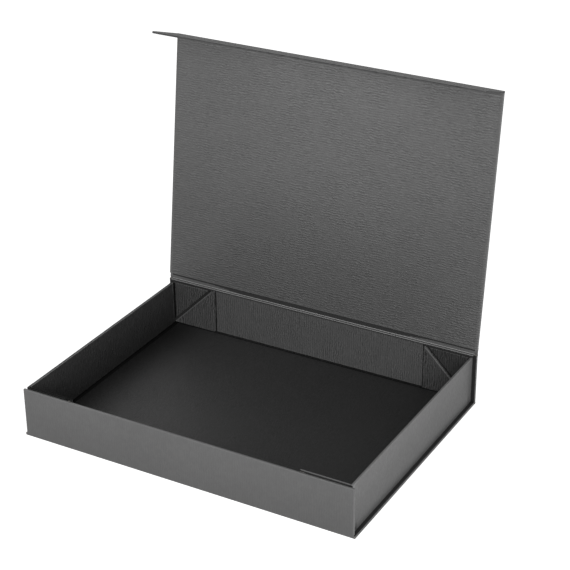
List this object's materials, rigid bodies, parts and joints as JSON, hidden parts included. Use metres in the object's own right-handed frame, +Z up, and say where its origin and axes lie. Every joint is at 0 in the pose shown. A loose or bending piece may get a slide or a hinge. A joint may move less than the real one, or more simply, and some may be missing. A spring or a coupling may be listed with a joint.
{
  "type": "clamshell book box",
  "caption": "Collapsible rigid book box with a hinged lid and magnetic closing flap, shown standing open; side walls fold in on gusset corners so that it stores flat.",
  "frame": {"origin": "middle of the underside of the base, on the surface it stands on", "axes": "+X along the spine and the front panel; +Y from the front panel to the spine; +Z up, out of the open tray"},
  "size_m": [0.33, 0.2716, 0.3083],
  "materials": {
    "grey_wrap_paper": "matt embossed wrapping paper",
    "grey_lining_paper": "matt embossed lining paper",
    "black_lining_paper": "matt embossed black paper",
    "greyboard": "uncoated pressed board",
    "magnet": "bright plated disc"
  },
  "bodies": {
    "base": {"base_board": "greyboard", "base_wrap": "grey_wrap_paper", "base_lining": "black_lining_paper", "floor_liner_board": "greyboard", "floor_liner_cover": "black_lining_paper"},
    "back": {"spine_board": "greyboard", "spine_wrap": "grey_wrap_paper", "spine_lining": "black_lining_paper", "lid_hinge_wrap": "grey_wrap_paper", "lid_hinge_lining": "grey_lining_paper", "spine_top_lining": "grey_lining_paper", "inner_back_board": "greyboard", "inner_back_wrap": "grey_wrap_paper", "rear_left_lower_gusset_board": "greyboard", "rear_left_lower_gusset_wrap": "grey_wrap_paper", "rear_right_lower_gusset_board": "greyboard", "rear_right_lower_gusset_wrap": "grey_wrap_paper"},
    "front": {"front_board": "greyboard", "front_wrap": "grey_wrap_paper", "front_lining": "grey_lining_paper", "front_magnets": "magnet", "inner_front_board": "greyboard", "inner_front_wrap": "grey_wrap_paper", "front_left_lower_gusset_board": "greyboard", "front_left_lower_gusset_wrap": "grey_wrap_paper", "front_right_lower_gusset_board": "greyboard", "front_right_lower_gusset_wrap": "grey_wrap_paper"},
    "left_wall": {"left_wall_board": "greyboard", "left_wall_wrap": "grey_wrap_paper"},
    "right_wall": {"right_wall_board": "greyboard", "right_wall_wrap": "grey_wrap_paper"},
    "rear_left_corner": {"rear_left_upper_gusset_board": "greyboard", "rear_left_upper_gusset_wrap": "grey_wrap_paper"},
    "rear_right_corner": {"rear_right_upper_gusset_board": "greyboard", "rear_right_upper_gusset_wrap": "grey_wrap_paper"},
    "front_left_corner": {"front_left_upper_gusset_board": "greyboard", "front_left_upper_gusset_wrap": "grey_wrap_paper"},
    "front_right_corner": {"front_right_upper_gusset_board": "greyboard", "front_right_upper_gusset_wrap": "grey_wrap_paper"},
    "lid": {"lid_board": "greyboard", "lid_wrap": "grey_wrap_paper", "lid_lining": "grey_lining_paper"},
    "flap": {"flap_board": "greyboard", "flap_wrap": "grey_wrap_paper", "flap_lining": "grey_lining_paper", "flap_magnets": "magnet"}
  },
  "joints": [
    {"name": "back_fold", "type": "hinge", "parent": "base", "child": "back", "pos_m": [0, 0.1205, 0], "axis": [1, 0, 0], "range_deg": [-82.8, 0]},
    {"name": "front_fold", "type": "hinge", "parent": "base", "child": "front", "pos_m": [0, -0.1205, 0], "axis": [-1, 0, 0], "range_deg": [-82.8, 0]},
    {"name": "right_wall_fold", "type": "hinge", "parent": "base", "child": "right_wall", "pos_m": [0.1589, 0, 0.0047], "axis": [0, 1, 0], "range_deg": [-82.8, 0]},
    {"name": "left_wall_fold", "type": "hinge", "parent": "base", "child": "left_wall", "pos_m": [-0.1589, 0, 0.0047], "axis": [0, -1, 0], "range_deg": [-82.8, 0]},
    {"name": "rear_right_corner_fold", "type": "hinge", "parent": "back", "child": "rear_right_corner", "pos_m": [0.1611, 0.11555, 0.0047], "axis": [-0.7071, 0, 0.7071], "range_deg": [-165.6, 0]},
    {"name": "rear_left_corner_fold", "type": "hinge", "parent": "back", "child": "rear_left_corner", "pos_m": [-0.1611, 0.11555, 0.0047], "axis": [-0.7071, 0, -0.7071], "range_deg": [-165.6, 0]},
    {"name": "front_right_corner_fold", "type": "hinge", "parent": "front", "child": "front_right_corner", "pos_m": [0.1611, -0.11555, 0.0047], "axis": [0.7071, 0, -0.7071], "range_deg": [-165.6, 0]},
    {"name": "front_left_corner_fold", "type": "hinge", "parent": "front", "child": "front_left_corner", "pos_m": [-0.1611, -0.11555, 0.0047], "axis": [0.7071, 0, 0.7071], "range_deg": [-165.6, 0]},
    {"name": "lid_hinge", "type": "hinge", "parent": "back", "child": "lid", "pos_m": [0, 0.12067, 0.05141], "axis": [-1, 0, 0], "range_deg": [-97.2, 82.8], "deforming": ["lid_hinge_wrap", "lid_hinge_lining"]},
    {"name": "flap_hinge", "type": "hinge", "parent": "lid", "child": "flap", "pos_m": [0, 0.15113, 0.29347], "axis": [-1, 0, 0], "range_deg": [-11.8, 78.2]}
  ],
  "couplings": [
    {"joint": "front_fold", "follows": "back_fold", "ratio": 1},
    {"joint": "right_wall_fold", "follows": "back_fold", "ratio": 1},
    {"joint": "left_wall_fold", "follows": "back_fold", "ratio": 1},
    {"joint": "rear_right_corner_fold", "follows": "back_fold", "ratio": 2},
    {"joint": "rear_left_corner_fold", "follows": "back_fold", "ratio": 2},
    {"joint": "front_right_corner_fold", "follows": "back_fold", "ratio": 2},
    {"joint": "front_left_corner_fold", "follows": "back_fold", "ratio": 2}
  ]
}
